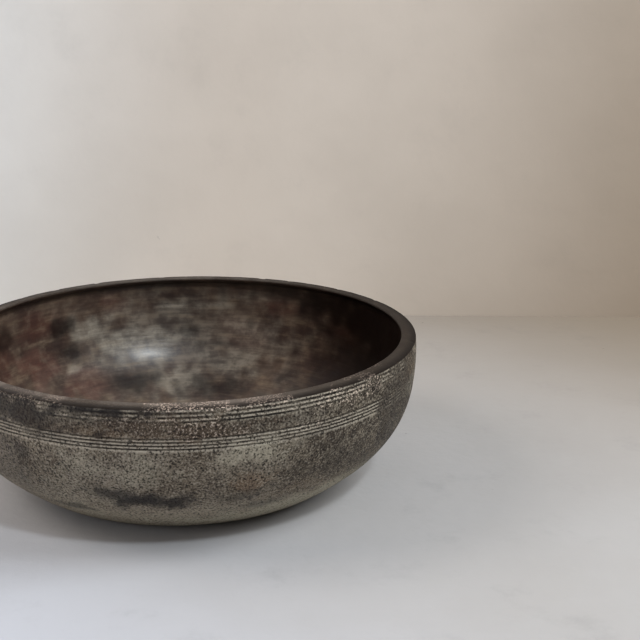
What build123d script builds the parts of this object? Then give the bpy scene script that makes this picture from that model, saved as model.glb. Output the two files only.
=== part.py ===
"""A wide, shallow metal bowl in one piece, turned true on its outside.

The section is a chain of tangent arcs, from a flat foot through a tight heel, a nearly straight flank and a
round shoulder to an upright wall. The lip is thicker than the wall and overhangs it on the inside, and the
outer part of its top is slightly crowned. Two bands of turned lines run round the wall, one right under the
lip and one a little lower.

Millimetres, +Z up, origin at the centre of the foot's underside.
"""

import math
import os

from build123d import *

# Driving dimensions
WIDEST_DIAMETER = 230.0
HEIGHT = 72.0
WALL_THICKNESS = 3.6
LIP_INNER_DIAMETER = 214.8
LIP_LAND = 1.0  # upright face on the inside of the lip
UNDERCUT_ANGLE = 40.0  # slope of the lip's underside, from the level
LIP_CROWN_WIDTH = 5.0  # outer part of the lip's top, which curves down to the wall
LIP_CROWN_DROP = 0.5
LIP_INNER_ROUND = 0.6
LIP_OUTER_ROUND = 0.3

# Outside of the section, from the foot up
HEEL_RADIUS = 28.0
HEEL_TURN = 34.5
FLANK_RADIUS = 150.0
FLANK_TURN = 7.0
SHOULDER_RADIUS = 53.0
SHOULDER_TURN = 38.0
WALL_RADIUS = 93.0  # this arc runs on up to the rim

# Turned lines, each a V-shaped groove
LINE_WIDTH = 0.9
LINE_DEPTH = 0.4
LIP_BAND_DEPTH = 2.25  # from the rim down to the band's first line
LIP_BAND_PITCH = 1.87
LIP_BAND_LINES = 3
WALL_BAND_DEPTH = 13.3
WALL_BAND_PITCH = 1.55
WALL_BAND_LINES = 4

# Worked out from the arcs: where the flat foot ends, and how high the bowl is widest
lower_arcs = [(HEEL_RADIUS, HEEL_TURN), (FLANK_RADIUS, FLANK_TURN), (SHOULDER_RADIUS, SHOULDER_TURN)]
wall_turn_to_widest = 90 - HEEL_TURN - FLANK_TURN - SHOULDER_TURN
foot_radius = WIDEST_DIAMETER / 2
widest_height = 0.0
direction = 0.0
for arc_radius, arc_turn in lower_arcs + [(WALL_RADIUS, wall_turn_to_widest)]:
    start = math.radians(direction)
    end = math.radians(direction + arc_turn)
    foot_radius -= arc_radius * (math.sin(end) - math.sin(start))
    widest_height += arc_radius * (math.cos(start) - math.cos(end))
    direction += arc_turn


def wall_face(height, inset=0.0):
    """Radius of the wall at this height: its outside, or the face that lies inset from it."""
    arc_centre = WIDEST_DIAMETER / 2 - WALL_RADIUS
    return arc_centre + math.sqrt((WALL_RADIUS - inset) ** 2 - (height - widest_height) ** 2)


def draw_side(inset, top):
    """One face of the bowl in section, from its axis along the foot and up the wall to height top."""
    edge = Line((0, inset), (foot_radius, inset))
    for radius, turn in lower_arcs:
        edge = JernArc(edge @ 1, edge % 1, radius - inset, turn)
    return TangentArc(edge @ 1, (wall_face(top, inset), top), tangent=edge % 1)


def make_body():
    """The bowl without its turned lines."""
    lip_inner = LIP_INNER_DIAMETER / 2
    land_end = HEIGHT - LIP_LAND
    overhang = wall_face(land_end, WALL_THICKNESS) - lip_inner
    undercut_end = land_end - overhang * math.tan(math.radians(UNDERCUT_ANGLE))
    with BuildPart() as body:
        with BuildSketch(Plane.XZ) as section:
            with BuildLine():
                outside = draw_side(0, HEIGHT - LIP_CROWN_DROP)
                inside = draw_side(WALL_THICKNESS, undercut_end)
                crown_start = (wall_face(HEIGHT - LIP_CROWN_DROP) - LIP_CROWN_WIDTH, HEIGHT)
                TangentArc(crown_start, outside @ 1, tangent=(1, 0))
                Polyline(crown_start, (lip_inner, HEIGHT), (lip_inner, land_end), inside @ 1)
                Line((0, 0), (0, WALL_THICKNESS))
            make_face()
            top_corners, outer_corners = section.vertices().group_by(Axis.Y)[:-3:-1]
            fillet(top_corners.sort_by(Axis.X)[0], LIP_INNER_ROUND)
            fillet(outer_corners.sort_by(Axis.X)[-1], LIP_OUTER_ROUND)
        revolve(axis=Axis.Z)
    return body.part


def make_line(depth):
    """The ring that cuts one turned line this far below the rim: its tip is inside the wall."""
    height = HEIGHT - depth
    face = wall_face(height)
    with BuildPart() as ring:
        with BuildSketch(Plane.XZ):
            with BuildLine():
                tip = (face - LINE_DEPTH, height)
                base_top = (face + LINE_DEPTH, height + LINE_WIDTH)
                base_bottom = (face + LINE_DEPTH, height - LINE_WIDTH)
                Polyline(tip, base_top, base_bottom, close=True)
            make_face()
        revolve(axis=Axis.Z)
    return ring.part


def make_bowl():
    """The whole bowl."""
    bowl = make_body()
    bands = [
        (LIP_BAND_DEPTH, LIP_BAND_PITCH, LIP_BAND_LINES),
        (WALL_BAND_DEPTH, WALL_BAND_PITCH, WALL_BAND_LINES),
    ]
    for first_depth, pitch, count in bands:
        for number in range(count):
            bowl -= make_line(first_depth + number * pitch)
    return bowl


os.makedirs("parts", exist_ok=True)
export_step(make_bowl(), "parts/bowl.step")
print(f"foot diameter {2 * foot_radius:.1f}, widest at height {widest_height:.1f}")
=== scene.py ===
"""Looks of the old bronze bowl: its final mesh, its patina, and the plain set it stands in.

Metres throughout, in the CAD model's own frame: +Z up, origin under the middle of the foot. The bowl is
drawn again with the section that the CAD model has, but with worn lines, nicks, dents and a rim that isn't
quite true.
"""

import math

import bpy
import numpy as np
from mathutils import Matrix, Vector, noise


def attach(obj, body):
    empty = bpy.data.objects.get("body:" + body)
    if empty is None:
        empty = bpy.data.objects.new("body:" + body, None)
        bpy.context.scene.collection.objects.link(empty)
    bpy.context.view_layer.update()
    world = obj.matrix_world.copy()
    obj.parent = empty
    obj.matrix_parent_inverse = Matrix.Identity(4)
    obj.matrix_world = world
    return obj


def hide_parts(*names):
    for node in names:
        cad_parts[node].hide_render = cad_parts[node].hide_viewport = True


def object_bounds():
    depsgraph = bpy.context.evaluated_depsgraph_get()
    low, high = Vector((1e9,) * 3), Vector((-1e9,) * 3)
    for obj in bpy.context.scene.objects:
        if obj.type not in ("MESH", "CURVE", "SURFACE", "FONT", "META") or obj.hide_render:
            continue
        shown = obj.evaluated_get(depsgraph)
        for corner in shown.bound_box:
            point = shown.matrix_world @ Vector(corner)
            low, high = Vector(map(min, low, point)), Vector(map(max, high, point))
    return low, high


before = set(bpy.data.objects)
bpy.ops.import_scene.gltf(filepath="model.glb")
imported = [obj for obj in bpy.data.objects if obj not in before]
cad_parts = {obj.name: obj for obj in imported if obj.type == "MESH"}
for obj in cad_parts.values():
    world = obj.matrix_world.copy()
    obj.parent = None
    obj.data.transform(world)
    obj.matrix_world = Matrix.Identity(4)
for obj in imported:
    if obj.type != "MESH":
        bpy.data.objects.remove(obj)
cad_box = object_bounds()
MM = 0.001

# The CAD model's size and section. Each arc is its radius and its turn in degrees
RADIUS = (cad_box[1].x - cad_box[0].x) / 2
HEIGHT = cad_box[1].z
WALL_THICKNESS = 3.6 * MM
LIP_INNER_RADIUS = 107.4 * MM
LIP_LAND = 1.0 * MM
LIP_INNER_ROUND = 0.6 * MM
LIP_OUTER_ROUND = 0.3 * MM
LIP_CROWN_WIDTH = 5.0 * MM
LIP_CROWN_DROP = 0.5 * MM
UNDERCUT = 40.0  # degrees
HEEL = (28.0 * MM, 34.5)
FLANK = (150.0 * MM, 7.0)
SHOULDER = (53.0 * MM, 38.0)
WALL_RADIUS = 93.0 * MM

# The turned lines, by their depth below the rim, and the first ridge, which stands above them
LIP_LINES = [(2.25 + 1.87 * number) * MM for number in range(3)]
WALL_LINES = [(13.3 + 1.55 * number) * MM for number in range(4)]
LINE_DEPTH = 0.4 * MM
LIP_LINE_HALF_WIDTH = 0.65 * MM
WALL_LINE_HALF_WIDTH = 0.5 * MM
TOP_RIDGE = 1.25 * MM
RIDGE_HALF_WIDTH = 0.6 * MM
BELOW_THE_LINES = 20.0 * MM

# Marks that years of use have left, and painted light and shade where noted. Each is its azimuth in degrees
# from the front towards +X, its height above the foot, half its width and half its height in millimetres,
# and its strength
OUTSIDE_MARKS = {
    "dark": [
        (-2, 27, 14, 4.4, 1.0), (-10.5, 31, 9, 2.8, 0.85), (3, 26.5, 8, 4, 1.0),
        (-31, 46, 5, 4, 0.6), (-33, 70.5, 8, 2.5, 0.7), (-23, 18, 9, 2, 0.7),
        (19, 27, 10, 3, 0.5), (24, 20, 12, 2, 0.5), (40, 47, 15, 8, 0.4), (44, 38, 20, 6, 0.4),
        # The first and last marks on the line below, just under the rim, are partly dark stain and partly
        # painted shadow under the lip
        (-11, 69.8, 26, 2.2, 1.0), (-28, 65, 34, 6, 0.9), (-12, 64.5, 26, 4, 0.55),
        # The last mark on the line below is painted shade on the left flank
        (10, 62.5, 60, 2.6, 0.5), (-24, 57, 14, 3, 0.35), (-38, 40, 16, 24, 0.35),
        (66, 56, 26, 26, 0.6), (92, 54, 34, 24, 0.5),
    ],
    "pale": [
        (-17, 44, 10, 7, 0.4), (-3, 43, 11, 6, 0.4), (21, 51, 13, 5, 0.6), (-22, 30, 20, 9, 0.3),
        # The marks on the line below and the one after, low on the heel, are pale patina with painted light
        # bounced up from the floor on it
        (10, 12, 14, 3, 0.6), (42, 14, 36, 9, 1.0), (22, 10, 28, 5, 1.0), (36, 8, 30, 5, 1.0),
        (-20, 17, 10, 4, 0.6),
    ],
    "rust": [
        (20, 36, 8, 5, 0.8), (5, 67, 14, 3, 0.4), (34, 26, 22, 4, 0.3), (-6, 62, 44, 4, 0.6),
    ],
    "chips": [
        (8, 71.3, 22, 1.1, 1.0), (24, 70.8, 16, 1.0, 0.5), (48, 68, 26, 4, 0.9),
        (-4, 66.5, 26, 3.0, 0.4), (-28, 70.5, 16, 1.5, 0.9), (32, 58, 10, 1.5, 0.4),
        (9, 63, 22, 4, 0.5),
    ],
    "rubbed": [
        (-38, 68, 34, 6, 1.0), (-22, 69, 28, 5, 1.0), (-8, 67.5, 26, 5, 0.75),
        (62, 69, 30, 6, 1.0), (80, 62, 48, 18, 1.0),
    ],
}
LIP_MARKS = {
    "dark": [
        (-33, 72, 9, 5, 0.6), (66, 72, 34, 8, 0.4), (110, 72, 62, 8, 0.55), (165, 72, 62, 8, 0.45),
        (-150, 72, 70, 8, 0.4),
    ],
    "pale": [(-38, 72, 34, 8, 0.5), (16, 72, 24, 8, 0.4)],
    "chips": [
        (7, 71.3, 20, 1.6, 0.5), (24, 71.5, 16, 1.2, 0.4), (-28, 71.5, 14, 1.2, 0.4),
        (50, 71.5, 18, 1.3, 0.4),
    ],
}
INSIDE_MARKS = {
    "dark": [
        (-134, 49, 9, 5, 0.9), (-135, 36, 11, 5, 0.85), (-112, 53, 6, 6, 0.8),
        (-153, 17, 14, 4, 0.85), (-174, 41, 6, 2.5, 0.6), (177, 33, 9, 2, 0.6),
        # The last two marks on the line below are painted shade on the +X side, which faces away from the
        # light
        (174, 12, 20, 4, 0.7), (120, 58, 62, 13, 1.0), (102, 42, 34, 20, 1.0),
        # On the line below, the first and last marks are more of that painted shade, and the middle one is
        # painted shadow under the far lip
        (150, 64, 34, 5, 0.8), (-170, 69, 140, 3, 0.55), (128, 30, 32, 18, 0.75),
    ],
    "pale": [
        # The first three marks on the line below and the first on the line after sit round the window's
        # highlight: pale patina with a painted glow of that highlight on it
        (-172, 36, 66, 24, 0.4), (-143, 46, 14, 7, 1.0), (-153, 36, 16, 10, 1.0),
        (-164, 34, 16, 10, 0.9), (-167, 56, 17, 1.6, 0.9), (176, 55, 15, 1.8, 0.8),
        (-134, 27, 4, 2, 0.8), (-170, 15, 14, 8, 0.8), (169, 24, 13, 7, 0.7), (153, 33, 12, 7, 0.3),
        (-179, 26, 6, 3, 0.6), (170, 42, 11, 5, 0.9), (166, 60, 24, 3, 0.4),
    ],
    "rust": [
        (-126, 53, 13, 7, 0.7), (-124, 33, 16, 8, 1.0), (-135, 18, 17, 6, 1.0),
        (-150, 60, 8, 4, 0.7), (157, 56, 13, 5, 0.9), (132, 48, 12, 6, 0.9),
        (170, 41, 13, 9, 0.45), (134, 28, 22, 9, 0.6), (-108, 44, 12, 12, 0.7),
    ],
}
MARK_KINDS = ["dark", "pale", "rust", "chips", "rubbed"]

# The parts of the surface, in the order of their materials: the listed marks, how frayed the marks' edges
# are, and the share of stray marks
ZONES = {
    "outside": (OUTSIDE_MARKS, 0.75, 1.0),
    "lip": (LIP_MARKS, 0.75, 0.2),
    "inside": (INSIDE_MARKS, 0.0, 1.0),
}

# How deep the shaped wear goes
DENT_DEPTH = 0.16 * MM
INSIDE_DENT_DEPTH = 0.12 * MM
ROUGHNESS_DEPTH = 0.05 * MM
CHIP_DEPTH = 0.2 * MM
LIP_WAVE_DEPTH = 0.08 * MM
NICK_DEPTH = 0.45 * MM
RIM_SWAY = 0.12 * MM
RIM_LIFT = 0.1 * MM

# How finely the bowl is drawn
SEGMENTS = 500
LINE_STEP = 0.27 * MM
LINE_MARGIN = 1.5 * MM
PLAIN_STEP = 1.7 * MM
WALL_STEP = 0.6 * PLAIN_STEP
LIP_STEP = 0.8 * MM
LAND_STEP = 1.0 * MM
INSIDE_STEP = 2.6 * MM
FLAT_STEP = 7.0 * MM
CROWN_POINTS = 7

# The camera: its place in rim radii from the middle of the rim's outer edge, its angles in degrees, and its
# lens and sensor in millimetres
CAMERA_RIGHT = 0.5861
CAMERA_BACK = 4.7992
CAMERA_UP = 1.3994
CAMERA_PITCH = 15.721
CAMERA_ROLL = 0.302
CAMERA_LENS = 64.69
CAMERA_SENSOR = 36.0

# The set: how far floor and wall reach, and how far behind the bowl's middle the wall stands
SET_REACH = 4.0
WALL_DISTANCE = 2.5 * RADIUS

# Each light: its direction from the bowl, its size, its power in watts, and its tint
LIGHT_DISTANCE = 1.6
WINDOW = ((0.38, -0.53, 0.76), 0.16, 9.5, (0.84, 0.92, 1.0))
PANELS = {
    "right_panel": ((0.77, 0.02, 0.63), 0.9, 28, (0.88, 0.94, 1.0)),
    "left_panel": ((-0.75, 0.02, 0.66), 0.9, 15.5, (1.0, 0.93, 0.86)),
    "front_panel": ((-0.62, -0.68, 0.38), 0.7, 4, (0.95, 0.96, 1.0)),
}
ROOM_COLOUR = (0.95, 0.93, 0.9, 1)
ROOM_STRENGTH = 0.17


# ---------------------------------------------------------------- the section

def arc(start, direction, radius, turn, step):
    """Points of an arc that turns anticlockwise, without its start, and the direction in which it ends."""
    count = max(2, round(radius * math.radians(turn) / step))
    centre = (start[0] - radius * math.sin(math.radians(direction)),
              start[1] + radius * math.cos(math.radians(direction)))
    points = []
    for number in range(1, count + 1):
        angle = math.radians(direction + turn * number / count)
        points.append((centre[0] + radius * math.sin(angle), centre[1] - radius * math.cos(angle)))
    return points, direction + turn


def line(start, end, step):
    """Points from start to end, without the start itself."""
    count = max(1, round(math.dist(start, end) / step))
    stretch = np.subtract(end, start)
    return [tuple(np.add(start, stretch * number / count)) for number in range(1, count + 1)]


def widest():
    """The foot's radius, and the height at which the bowl is widest, from the arcs."""
    foot, height, direction = RADIUS, 0.0, 0.0
    wall = (WALL_RADIUS, 90 - HEEL[1] - FLANK[1] - SHOULDER[1])
    for radius, turn in (HEEL, FLANK, SHOULDER, wall):
        start, end = math.radians(direction), math.radians(direction + turn)
        foot -= radius * (math.sin(end) - math.sin(start))
        height += radius * (math.cos(start) - math.cos(end))
        direction += turn
    return foot, height


FOOT_RADIUS, WIDEST_HEIGHT = widest()


def wall_face(height, inset=0.0):
    """Radius of the wall at this height: its outside, or the face that lies inset from it."""
    return RADIUS - WALL_RADIUS + math.sqrt((WALL_RADIUS - inset) ** 2 - (height - WIDEST_HEIGHT) ** 2)


def side(inset, step):
    """The lower arcs of one side, from the foot's edge up to the wall."""
    points, direction = [(FOOT_RADIUS, inset)], 0.0
    for radius, turn in (HEEL, FLANK, SHOULDER):
        more, direction = arc(points[-1], direction, radius - inset, turn, step)
        points += more
    return points


def near_lines(depth):
    """Whether this depth below the rim lies in a band of turned lines."""
    bands = (LIP_LINES, WALL_LINES)
    return any(band[0] - LINE_MARGIN < depth < band[-1] + LINE_MARGIN for band in bands)


def wall_heights(bottom):
    """Heights of the rings on the outside of the wall: close together where lines are turned in it."""
    heights, height = [], bottom
    top = HEIGHT - LIP_CROWN_DROP - LIP_OUTER_ROUND
    while height < top:
        heights.append(height)
        height += LINE_STEP if near_lines(HEIGHT - height) else WALL_STEP
    return heights[1:] + [top]


def lip_crown():
    """The outer part of the lip's top, from the wall inwards: it curves up until it is level."""
    crown_radius = (LIP_CROWN_WIDTH ** 2 + LIP_CROWN_DROP ** 2) / (2 * LIP_CROWN_DROP)
    centre_height = HEIGHT - crown_radius
    start = wall_face(HEIGHT - LIP_CROWN_DROP) - LIP_CROWN_WIDTH
    reaches = np.linspace(LIP_CROWN_WIDTH - LIP_OUTER_ROUND, 0, CROWN_POINTS)
    return [(start + reach, centre_height + math.sqrt(crown_radius ** 2 - reach ** 2)) for reach in reaches]


def inner_wall(top, bottom):
    """The inside of the wall, between these two heights."""
    count = round((top - bottom) / INSIDE_STEP)
    heights = np.linspace(top, bottom, count + 1)[1:-1]
    return [(wall_face(height, WALL_THICKNESS), height) for height in heights]


def section():
    """The outline from under the foot's middle, out and up, over the lip, and down to the inner floor.

    Gives each ring's radius and height, and the zone it belongs to."""
    rings = []

    def add(points, zone):
        rings.extend((radius, height, zone) for radius, height in points)

    lower = side(0, PLAIN_STEP)
    add(line((0, 0), (FOOT_RADIUS, 0), FLAT_STEP)[:-1], "outside")
    add(lower, "outside")
    add([(wall_face(height), height) for height in wall_heights(lower[-1][1])], "outside")

    inner_edge = (LIP_INNER_RADIUS + LIP_INNER_ROUND, HEIGHT)
    add(lip_crown(), "lip")
    add(line(rings[-1][:2], inner_edge, LIP_STEP), "lip")
    add(arc(inner_edge, 180, LIP_INNER_ROUND, 90, LIP_INNER_ROUND / 3)[0], "lip")

    land_end = HEIGHT - LIP_LAND
    overhang = wall_face(land_end, WALL_THICKNESS) - LIP_INNER_RADIUS
    undercut_end = land_end - overhang * math.tan(math.radians(UNDERCUT))
    wall_top = (wall_face(undercut_end, WALL_THICKNESS), undercut_end)
    inner = side(WALL_THICKNESS, INSIDE_STEP)
    land_start = (LIP_INNER_RADIUS, HEIGHT - LIP_INNER_ROUND)
    add(line(land_start, (LIP_INNER_RADIUS, land_end), LAND_STEP), "inside")
    add(line((LIP_INNER_RADIUS, land_end), wall_top, LIP_STEP), "inside")
    add(inner_wall(undercut_end, inner[-1][1]), "inside")
    add(reversed(inner), "inside")
    add(line((FOOT_RADIUS, WALL_THICKNESS), (0, WALL_THICKNESS), FLAT_STEP)[:-1], "inside")
    return rings


# ---------------------------------------------------------------- wear that has a shape

def smooth(value, low, high):
    """0 below low, 1 above high, and a soft step between."""
    share = min(1.0, max(0.0, (value - low) / (high - low)))
    return share * share * (3 - 2 * share)


def cloud(point, size, seed):
    """Soft noise from about -1 to 1, whose blobs are about size across. Each seed gives another noise."""
    return noise.noise(Vector(point) / size + Vector((seed * 17.3, seed * 5.1, seed * 9.7)))


def listed_strengths(marks, azimuth, point, fraying):
    """How strong each kind of listed mark is at this point. Fraying roughens their ragged edges finely."""
    strengths = dict.fromkeys(MARK_KINDS, 0.0)
    radius = math.hypot(point[0], point[1])
    extent = 1.475 + 1.05 * cloud(point, 8 * MM, 11) + fraying * cloud(point, 2.5 * MM, 12)
    for kind, places in marks.items():
        for middle, height, half_width, half_height, strength in places:
            turn = (azimuth - middle + 180) % 360 - 180
            across = math.radians(turn) * radius / (half_width * MM)
            up = (point[2] - height * MM) / (half_height * MM)
            if abs(across) < 2 and abs(up) < 2:
                reach = extent - math.hypot(across, up)
                strengths[kind] = max(strengths[kind], strength * smooth(reach, -0.1, 1.1))
    return strengths


def stray_strengths(share, point):
    """How strong the marks are that lie where none are listed, so that no side is bare."""
    flat = (point[0], point[1], point[2] * 2)
    strengths = {}
    for number, kind in enumerate(["dark", "pale", "rust"]):
        strengths[kind] = 0.7 * share * smooth(cloud(flat, 19 * MM, 21 + number), 0.1, 0.5)
    under_lip = smooth(point[2], HEIGHT - 8 * MM, HEIGHT - 2 * MM)
    strengths["chips"] = share * under_lip * smooth(cloud(flat, 24 * MM, 25), 0.0, 0.5)
    strengths["rubbed"] = 0.8 * share * smooth(cloud(flat, 40 * MM, 26), 0.05, 0.45)
    return strengths


def mark_strengths(zone, angle, point):
    """How strong each kind of mark is at this point. Strays lie far from the middle of the listed marks."""
    listed_marks, fraying, stray_share = ZONES[zone]
    azimuth = (math.degrees(angle) + 270) % 360 - 180
    away = 180 - abs(azimuth) if zone == "inside" else abs(azimuth)
    listed = listed_strengths(listed_marks, azimuth, point, fraying)
    stray = stray_strengths(stray_share * smooth(away, 60, 90), point)
    return {kind: max(listed[kind], stray[kind]) for kind in MARK_KINDS}


def line_wear(point, rubbed):
    """How much is left of the turned lines at this place, from 0 to 1."""
    uneven = 0.8 + 0.5 * cloud((point[0], point[1], point[2] * 3), 16 * MM, 3)
    scratched = smooth(cloud((point[0], point[1], point[2] * 0.4), 2.6 * MM, 4), -0.5, -0.3)
    return max(0.0, min(1.0, uneven)) * (0.45 + 0.55 * scratched) * (1 - 0.85 * rubbed)


def groove(depth, lines, half_width):
    """1 in the middle of a turned line, at this depth below the rim, and 0 beside it."""
    nearest = min(abs(depth - line_depth) for line_depth in lines)
    return 1 - smooth(nearest, 0.1 * half_width, half_width)


def ridges(lines):
    """Where the metal stands up between the lines, and below the last."""
    pitch = lines[1] - lines[0]
    return [line_depth + pitch / 2 for line_depth in lines]


RIDGES = [TOP_RIDGE] + ridges(LIP_LINES) + ridges(WALL_LINES)


def line_marks(point, depth, rubbed):
    """How far this point is sunk in a turned line, and how far it stands on a ridge."""
    left = line_wear(point, rubbed)
    lip_line = groove(depth, LIP_LINES, LIP_LINE_HALF_WIDTH)
    wall_line = groove(depth, WALL_LINES, WALL_LINE_HALF_WIDTH)
    return left * max(lip_line, wall_line), left * groove(depth, RIDGES, RIDGE_HALF_WIDTH)


def push_outside(point, upper, chips):
    """Dents all over, and rough metal where chips have come off."""
    dents = DENT_DEPTH * cloud(point, 17 * MM, 1)
    return upper * (dents + (ROUGHNESS_DEPTH + CHIP_DEPTH * chips) * cloud(point, 2.4 * MM, 2))


def push_lip(point, radius):
    """Slow waves and nicks along the lip's outer edge."""
    near_edge = smooth(radius, RADIUS - 4 * MM, RADIUS - MM)
    nicks = smooth(cloud(point, 4.5 * MM, 7), 0.22, 0.55) * near_edge
    return LIP_WAVE_DEPTH * cloud(point, 7 * MM, 6) - nicks * NICK_DEPTH


def push_inside(point, radius):
    """Shallow dents, fading out towards the middle of the floor."""
    return smooth(radius, 8 * MM, 30 * MM) * INSIDE_DENT_DEPTH * cloud(point, 22 * MM, 8)


def worn_vertex(ring, normal, angle):
    """One vertex, pushed by the wear along the section's normal, and its marks by name."""
    radius, height, zone = ring
    out, up = normal
    depth = HEIGHT - height
    upper = smooth(height, 8 * MM, 30 * MM)
    point = (radius * math.cos(angle), radius * math.sin(angle), height)
    marks = dict(mark_strengths(zone, angle, point), sunk=0.0, ridge=0.0, edge=0.0)
    if zone == "outside":
        if depth < BELOW_THE_LINES:
            marks["sunk"], marks["ridge"] = line_marks(point, depth, marks["rubbed"])
        marks["edge"] = smooth(-depth, -1.1 * MM, -0.6 * MM)
        push = push_outside(point, upper, marks["chips"]) - marks["sunk"] * LINE_DEPTH
    elif zone == "lip":
        marks["edge"] = smooth(radius, LIP_INNER_RADIUS, RADIUS)
        push = push_lip(point, radius)
    else:
        push = push_inside(point, radius)
    reach = radius + push * out + upper * RIM_SWAY * math.cos(3 * angle - 1.1)
    lifted = height + push * up + upper * RIM_LIFT * math.cos(2 * angle - 0.9)
    return (reach * math.cos(angle), reach * math.sin(angle), lifted), marks


def bowl_vertices(rings):
    """Every vertex, ring by ring, and the marks at each by name."""
    outline = np.array([(radius, height) for radius, height, zone in rings])
    tangent = np.gradient(outline, axis=0)
    tangent /= np.linalg.norm(tangent, axis=1)[:, None]
    normals = np.stack([tangent[:, 1], -tangent[:, 0]], axis=1)
    lengths = np.linalg.norm(np.diff(outline, axis=0), axis=1)
    along = np.concatenate([[0], np.cumsum(lengths)])
    vertices = []
    marks = {name: [] for name in MARK_KINDS + ["sunk", "ridge", "edge", "along"]}
    for ring, normal, distance in zip(rings, normals, along):
        for number in range(SEGMENTS):
            vertex, values = worn_vertex(ring, normal, 2 * math.pi * number / SEGMENTS)
            vertices.append(vertex)
            values["along"] = distance
            for name in marks:
                marks[name].append(values[name])
    return vertices, marks


def bowl_faces(rings):
    """Faces between the rings and round the two middles, and each face's material slot."""
    zones = list(ZONES)
    faces, slots = [], []
    for ring in range(len(rings) - 1):
        low, high = ring * SEGMENTS, (ring + 1) * SEGMENTS
        for number in range(SEGMENTS):
            after = (number + 1) % SEGMENTS
            faces.append((low + number, low + after, high + after, high + number))
            slots.append(zones.index(rings[ring + 1][2]))
    last_ring = (len(rings) - 1) * SEGMENTS
    foot_middle = len(rings) * SEGMENTS
    floor_middle = foot_middle + 1
    for number in range(SEGMENTS):
        after = (number + 1) % SEGMENTS
        faces.append((foot_middle, after, number))
        faces.append((floor_middle, last_ring + number, last_ring + after))
        slots += [zones.index("outside"), zones.index("inside")]
    return faces, slots


def bowl_mesh():
    """The bowl as one closed mesh, with a material slot for each zone."""
    rings = section()
    vertices, marks = bowl_vertices(rings)
    faces, slots = bowl_faces(rings)
    middles = [(0, 0, 0), (0, 0, WALL_THICKNESS)]
    mesh = bpy.data.meshes.new("bowl_in_bronze")
    mesh.from_pydata(vertices + middles, [], faces)
    mesh.polygons.foreach_set("material_index", slots)
    mesh.polygons.foreach_set("use_smooth", [True] * len(faces))
    for name, values in marks.items():
        middle_values = [values[0], values[-1]]
        mesh.attributes.new(name, "FLOAT", "POINT").data.foreach_set("value", values + middle_values)
    mesh.update()
    return mesh


# ---------------------------------------------------------------- materials

class Shader:
    """One material's node tree. Each call adds a node and gives its output socket."""

    def __init__(self, name):
        self.material = bpy.data.materials.new(name)
        self.material.use_nodes = True
        self.tree = self.material.node_tree
        self.tree.nodes.clear()
        self.output = self.tree.nodes.new("ShaderNodeOutputMaterial")
        self.place = self.add("ShaderNodeTexCoord").outputs["Object"]

    def add(self, kind, values=None, **settings):
        """The new node itself, with each value linked to its input or set on it."""
        node = self.tree.nodes.new(kind)
        for name, value in settings.items():
            setattr(node, name, value)
        for name, value in (values or {}).items():
            if isinstance(value, bpy.types.NodeSocket):
                self.tree.links.new(value, node.inputs[name])
            else:
                node.inputs[name].default_value = value
        return node

    def math(self, operation, first, second):
        return self.add("ShaderNodeMath", {0: first, 1: second}, operation=operation).outputs[0]

    def scaled(self, value, factor):
        return self.math("MULTIPLY", value, factor)

    def noise(self, size, detail, rough, vector=None):
        """Noise with blobs of about this size in metres."""
        values = {"Vector": vector or self.place, "Scale": 1 / size, "Detail": detail, "Roughness": rough}
        return self.add("ShaderNodeTexNoise", values).outputs["Fac"]

    def step(self, value, low, high, start=0.0, end=1.0):
        """Start below low, end above high, and a soft step between."""
        values = {"Value": value, 1: low, 2: high, 3: start, 4: end}
        return self.add("ShaderNodeMapRange", values, interpolation_type="SMOOTHSTEP").outputs["Result"]

    def mix(self, share, first, second):
        """The first colour, with this share of the second."""
        return self.add("ShaderNodeMix", {0: share, 6: first, 7: second}, data_type="RGBA").outputs[2]

    def attribute(self, name):
        """One of the marks that the mesh carries."""
        return self.add("ShaderNodeAttribute", attribute_name=name).outputs["Fac"]

    def axis(self, number):
        """The place along X, Y or Z: 0, 1 or 2."""
        return self.add("ShaderNodeSeparateXYZ", {0: self.place}).outputs[number]

    def turned(self, size, closeness):
        """Coordinates that run round the bowl and along its section, closeness times as fast along it."""
        round_it = self.add("ShaderNodeCombineXYZ", {0: self.axis(0), 1: self.axis(1)}).outputs[0]
        unit = self.add("ShaderNodeVectorMath", {0: round_it}, operation="NORMALIZE").outputs[0]
        ring = self.add("ShaderNodeVectorMath", {0: unit, 3: size}, operation="SCALE").outputs[0]
        along = self.scaled(self.attribute("along"), closeness)
        lifted = self.add("ShaderNodeCombineXYZ", {2: along}).outputs[0]
        return self.add("ShaderNodeVectorMath", {0: ring, 1: lifted}, operation="ADD").outputs[0]

    def bump(self, height, distance, normal=None):
        """The surface's normal, tilted by this height, on top of another normal if there is one."""
        values = {"Height": height, "Distance": distance}
        if normal:
            values["Normal"] = normal
        return self.add("ShaderNodeBump", values).outputs["Normal"]

    def right_side(self, base, start, end, share, shade):
        """The base colour, changed to another shade towards +X."""
        return self.mix(self.step(self.axis(0), start, end, 0, share), base, shade)

    def finish(self, **inputs):
        """The material, with the Principled shader. Constants are set on the shader's own sockets."""
        values = {name.replace("_", " "): value for name, value in inputs.items()}
        shader = self.add("ShaderNodeBsdfPrincipled", values)
        self.tree.links.new(shader.outputs["BSDF"], self.output.inputs["Surface"])
        return self.material


def colour(red, green, blue):
    """A colour as seen on screen, from 0 to 255, as the shader's linear values."""
    def linear(value):
        value /= 255
        return value / 12.92 if value <= 0.04045 else ((value + 0.055) / 1.055) ** 2.4
    return (linear(red), linear(green), linear(blue), 1.0)


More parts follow.
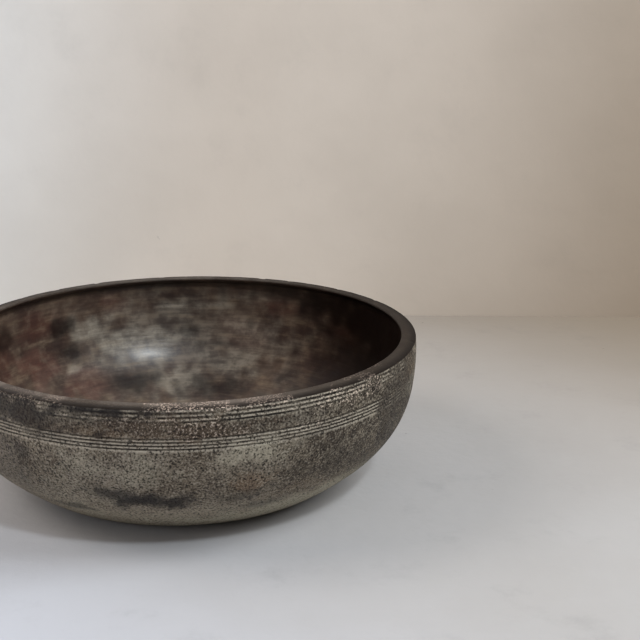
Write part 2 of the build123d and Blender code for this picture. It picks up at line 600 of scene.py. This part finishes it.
def outside_material():
    """Dull pitted patina, grey to brown, with paler worn ridges, and painted light from the floor paler
    towards the heel.
    """
    brown, grey = colour(84, 72, 58), colour(116, 106, 92)
    umber, painted_floor_bounce = colour(50, 40, 31), colour(176, 165, 143)
    light_mottle, dark_mottle = colour(136, 125, 108), colour(58, 48, 38)
    pale_bloom_and_painted_light, ochre, stain_and_painted_shade = colour(172, 164, 143), colour(112, 82, 54), colour(30, 25, 24)
    light_grain, pit, shadow = colour(180, 170, 152), colour(22, 17, 13), colour(12, 9, 8)
    worn_metal, chipped_metal, speck = colour(202, 191, 172), colour(226, 204, 184), colour(214, 204, 188)

    s = Shader("bowl_outside")
    dark, pale, rust, chips = (s.attribute(name) for name in ("dark", "pale", "rust", "chips"))
    sunk, ridge, edge = (s.attribute(name) for name in ("sunk", "ridge", "edge"))
    clouds = s.noise(26 * MM, 5, 0.6)
    mottle = s.noise(4.5 * MM, 5, 0.65)
    grain = s.noise(0.95 * MM, 2, 0.65)
    fine = s.noise(0.45 * MM, 2, 0.6)
    worn = s.math("MULTIPLY", ridge, s.step(fine, 0.3, 0.55, 0.5, 1))
    chipped = s.math("MULTIPLY", s.step(grain, 0.55, 0.64), s.step(chips, 0.1, 0.6))
    pits = s.step(grain, 0.36, 0.45, 1, 0)

    base = s.mix(s.step(clouds, 0.38, 0.62), brown, grey)
    base = s.right_side(base, 15 * MM, 105 * MM, 0.86, umber)
    # Painted light: paler towards the heel, as if lit by light bounced up from the floor
    base = s.mix(s.step(s.axis(2), 10 * MM, 34 * MM, 0.66, 0), base, painted_floor_bounce)
    base = s.mix(s.step(mottle, 0.42, 0.62, 0, 0.4), base, light_mottle)
    base = s.mix(s.step(mottle, 0.3, 0.46, 0.5, 0), base, dark_mottle)
    # Pale bloom, with painted light bounced from the floor in the marks on the heel
    base = s.mix(s.scaled(pale, 0.8), base, pale_bloom_and_painted_light)
    base = s.mix(s.scaled(rust, 0.55), base, ochre)
    base = s.mix(s.step(grain, 0.5, 0.68, 0, 0.5), base, light_grain)
    base = s.mix(s.scaled(worn, 0.66), base, worn_metal)
    base = s.mix(s.scaled(chipped, 0.85), base, chipped_metal)
    base = s.mix(s.step(fine, 0.68, 0.75, 0, 0.8), base, speck)
    # Dark stains, and in places painted shade and shadow
    base = s.mix(s.scaled(dark, 0.9), base, stain_and_painted_shade)
    base = s.mix(s.scaled(pits, 0.88), base, pit)
    base = s.mix(s.scaled(s.math("MAXIMUM", sunk, edge), 0.97), base, shadow)

    rise = s.math("ADD", s.scaled(grain, 0.8), s.scaled(fine, 0.3))
    normal = s.bump(s.math("SUBTRACT", rise, pits), 0.2 * MM)
    rough = s.step(mottle, 0.3, 0.7, 0.55, 0.75)
    return s.finish(Base_Color=base, Roughness=rough, Normal=normal, Specular_IOR_Level=0.3)


def lip_material():
    """Smooth and handled, darker towards its outer edge, with chips along it."""
    brown, grey = colour(66, 57, 50), colour(84, 76, 69)
    pale_bloom_and_painted_light, light_grain, umber = colour(124, 111, 102), colour(112, 103, 95), colour(44, 36, 29)
    edge_brown, chipped_metal, stain_and_painted_shade = colour(26, 21, 18), colour(222, 198, 180), colour(30, 25, 23)

    s = Shader("bowl_lip")
    dark, pale, chips, edge = (s.attribute(name) for name in ("dark", "pale", "chips", "edge"))
    clouds = s.noise(16 * MM, 5, 0.6)
    grain = s.noise(0.9 * MM, 2, 0.6)
    chipped = s.math("MULTIPLY", s.step(grain, 0.52, 0.6), s.step(chips, 0.2, 0.8))

    base = s.mix(s.step(clouds, 0.4, 0.62), brown, grey)
    base = s.mix(s.scaled(pale, 0.8), base, pale_bloom_and_painted_light)
    base = s.mix(s.step(grain, 0.45, 0.7, 0, 0.35), base, light_grain)
    base = s.right_side(base, 10 * MM, 100 * MM, 0.78, umber)
    base = s.mix(s.step(edge, 0.3, 1.0, 0, 0.85), base, edge_brown)
    base = s.mix(s.scaled(chipped, 0.85), base, chipped_metal)
    base = s.mix(s.scaled(dark, 0.8), base, stain_and_painted_shade)

    normal = s.bump(grain, 0.08 * MM)
    return s.finish(Base_Color=base, Roughness=0.7, Normal=normal, Specular_IOR_Level=0.15)


def inside_material():
    """Smoother, with clouds of grey, brown and red drawn out along the turning. Duller towards +X, and
    darker there with painted shade.
    """
    dark_brown, brown = colour(58, 43, 36), colour(86, 69, 57)
    pale_bloom_and_painted_light, red_brown, stain_and_painted_shade = colour(158, 148, 132), colour(92, 56, 45), colour(14, 6, 4)
    light_streak, dark_streak = colour(142, 122, 98), colour(40, 31, 30)
    light_mottle, dark_mottle = colour(136, 121, 102), colour(44, 34, 34)
    turning_brown, painted_shade = colour(28, 20, 18), colour(12, 4, 2)

    s = Shader("bowl_inside")
    dark, pale, rust = (s.attribute(name) for name in ("dark", "pale", "rust"))
    streaks = s.noise(15 * MM, 5, 0.6, s.turned(90 * MM, 3.5))
    turning = s.noise(18 * MM, 3, 0.55, s.turned(90 * MM, 11))
    clouds = s.noise(24 * MM, 4, 0.55)
    mottle = s.noise(6 * MM, 6, 0.62)
    broken = s.step(s.math("ADD", mottle, streaks), 0.8, 1.2, 0.5, 0.92)

    base = s.mix(s.step(clouds, 0.36, 0.64), dark_brown, brown)
    # Pale bloom, with a painted glow round the window's highlight
    base = s.mix(s.math("MULTIPLY", pale, broken), base, pale_bloom_and_painted_light)
    base = s.mix(s.scaled(rust, 0.65), base, red_brown)
    base = s.mix(s.step(streaks, 0.48, 0.76, 0, 0.36), base, light_streak)
    base = s.mix(s.step(streaks, 0.26, 0.5, 0.36, 0), base, dark_streak)
    base = s.mix(s.step(mottle, 0.3, 0.58, 0.26, 0), base, dark_mottle)
    base = s.mix(s.step(mottle, 0.48, 0.76, 0, 0.24), base, light_mottle)
    # Dark stains, and painted shade on the +X side and under the far lip
    base = s.mix(s.scaled(dark, 0.92), base, stain_and_painted_shade)
    base = s.mix(s.step(turning, 0.34, 0.66, 0.22, 0), base, turning_brown)
    # Painted shade: darker towards +X, the side that faces away from the light
    base = s.right_side(base, 42 * MM, 98 * MM, 0.92, painted_shade)

    normal = s.bump(turning, 0.14 * MM)
    rough = s.step(mottle, 0.35, 0.65, 0.4, 0.48)
    gloss = s.step(s.axis(0), 25 * MM, 90 * MM, 0.55, 0.12)
    coat = s.step(s.axis(0), 25 * MM, 90 * MM, 0.25, 0.0)
    return s.finish(Base_Color=base, Roughness=rough, Normal=normal, Specular_IOR_Level=gloss,
                    Coat_Weight=coat, Coat_Roughness=0.24)


# ---------------------------------------------------------------- the set

def plaster(name, painted_light_falloff, direction, stops, relief, soil):
    """Uneven, slightly soiled plaster, with painted light and shade that go through three steps along a
    direction, at these stops.
    """
    smear, smudge, spot = colour(120, 108, 92), colour(98, 96, 98), colour(90, 84, 78)
    s = Shader(name)
    clouds = s.noise(120 * MM, 5, 0.55)
    smudges = s.noise(45 * MM, 6, 0.7)
    trowel = s.noise(14 * MM, 4, 0.6)
    spots = s.noise(7 * MM, 2, 0.5)
    dot = s.add("ShaderNodeVectorMath", {0: s.place, 1: direction}, operation="DOT_PRODUCT")
    along = dot.outputs["Value"]
    # Painted light and shade: lighter at one end of the direction and darker at the other
    base = s.mix(s.step(along, stops[0], stops[1]), painted_light_falloff[0], painted_light_falloff[1])
    base = s.mix(s.step(along, stops[1], stops[2]), base, painted_light_falloff[2])
    base = s.mix(s.step(clouds, 0.35, 0.7, 0, 0.1), base, smear)
    base = s.mix(s.step(smudges, 0.54, 0.76, 0, soil), base, smudge)
    base = s.mix(s.step(spots, 0.76, 0.8, 0, 3 * soil), base, spot)
    normal = s.bump(trowel, relief, s.bump(clouds, 1 * MM))
    return s.finish(Base_Color=base, Roughness=0.9, Normal=normal)


def clear_from_behind(material):
    """Makes the back of a surface clear, so that it hides nothing when it is seen from there."""
    nodes = material.node_tree.nodes
    links = material.node_tree.links
    mixed = nodes.new("ShaderNodeMixShader")
    links.new(nodes.new("ShaderNodeNewGeometry").outputs["Backfacing"], mixed.inputs[0])
    links.new(nodes["Principled BSDF"].outputs["BSDF"], mixed.inputs[1])
    links.new(nodes.new("ShaderNodeBsdfTransparent").outputs["BSDF"], mixed.inputs[2])
    links.new(mixed.outputs[0], nodes["Material Output"].inputs["Surface"])


def make_plane(name, corners, material):
    """A flat piece of the set."""
    mesh = bpy.data.meshes.new(name)
    mesh.from_pydata(corners, [], [tuple(range(len(corners)))])
    mesh.materials.append(material)
    piece = bpy.data.objects.new(name, mesh)
    bpy.context.scene.collection.objects.link(piece)


def make_set():
    """A pale floor, and a pale wall behind the bowl that is seen from its front only, both with painted
    light and shade across them.
    """
    far, wall_y = SET_REACH, WALL_DISTANCE
    # Painted light: lighter and bluer at the front left, darker and warmer towards the far right
    floor_painted_light = (colour(190, 193, 203), colour(175, 172, 170), colour(135, 122, 106))
    floor = plaster("floor_plaster", floor_painted_light, (1, 1, 0), (-0.4, 0.05, 0.65), 0.5 * MM, 0.16)
    make_plane("floor", [(-far, -far, 0), (far, -far, 0), (far, far, 0), (-far, far, 0)], floor)
    # Painted light: lighter on the left, darker and warmer towards the right
    wall_painted_light = (colour(242, 242, 240), colour(223, 211, 198), colour(160, 142, 122))
    wall = plaster("wall_plaster", wall_painted_light, (1, 0, -0.12), (-0.3, 0.0, 0.42), 0.15 * MM, 0.05)
    clear_from_behind(wall)
    make_plane("wall", [(-far, wall_y, 0), (far, wall_y, 0), (far, wall_y, far), (-far, wall_y, far)], wall)


def make_light(name, toward, size, power, tint):
    """A soft square light, seen from the bowl in this direction. Gives the light."""
    data = bpy.data.lights.new(name, "AREA")
    data.size = size
    data.energy = power
    data.color = tint
    light = bpy.data.objects.new(name, data)
    away = Vector(toward).normalized()
    light.location = Vector((0, 0, HEIGHT)) + away * LIGHT_DISTANCE
    light.rotation_euler = away.to_track_quat("Z", "Y").to_euler()
    light.visible_camera = False
    bpy.context.scene.collection.objects.link(light)
    return light


def make_room():
    """One small window, and soft light from all round, which stands for a whole bright room.

    The gloss mirrors only the window: a room would show no panels' edges in it."""
    make_light("window", *WINDOW)
    for name, panel in PANELS.items():
        make_light(name, *panel).visible_glossy = False
    world = bpy.data.worlds.new("room")
    world.use_nodes = True
    background = world.node_tree.nodes["Background"]
    background.inputs["Color"].default_value = ROOM_COLOUR
    background.inputs["Strength"].default_value = ROOM_STRENGTH
    world.cycles_visibility.glossy = False
    bpy.context.scene.world = world
    bpy.context.scene.view_settings.view_transform = "Standard"


def make_camera():
    """The camera, looking along +Y and down."""
    data = bpy.data.cameras.new("camera")
    data.lens = CAMERA_LENS
    data.sensor_width = CAMERA_SENSOR
    camera = bpy.data.objects.new("camera", data)
    rim_height = HEIGHT - LIP_CROWN_DROP
    place = Vector((CAMERA_RIGHT, -CAMERA_BACK, CAMERA_UP)) * wall_face(rim_height)
    place += Vector((0, 0, rim_height))
    pitch = Matrix.Rotation(math.radians(90 - CAMERA_PITCH), 4, "X")
    roll = Matrix.Rotation(math.radians(CAMERA_ROLL), 4, "Z")
    camera.matrix_world = Matrix.Translation(place) @ pitch @ roll
    bpy.context.scene.collection.objects.link(camera)
    bpy.context.scene.camera = camera


def make_bowl():
    """The bowl, in place of the CAD model's one node. Its materials are in the order of its zones."""
    bowl = bpy.data.objects.new("bowl_in_bronze", bowl_mesh())
    bpy.context.scene.collection.objects.link(bowl)
    for make_material in (outside_material, lip_material, inside_material):
        bowl.data.materials.append(make_material())
    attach(bowl, "root")
    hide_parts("bowl")


make_camera()
make_set()
make_room()
make_bowl()
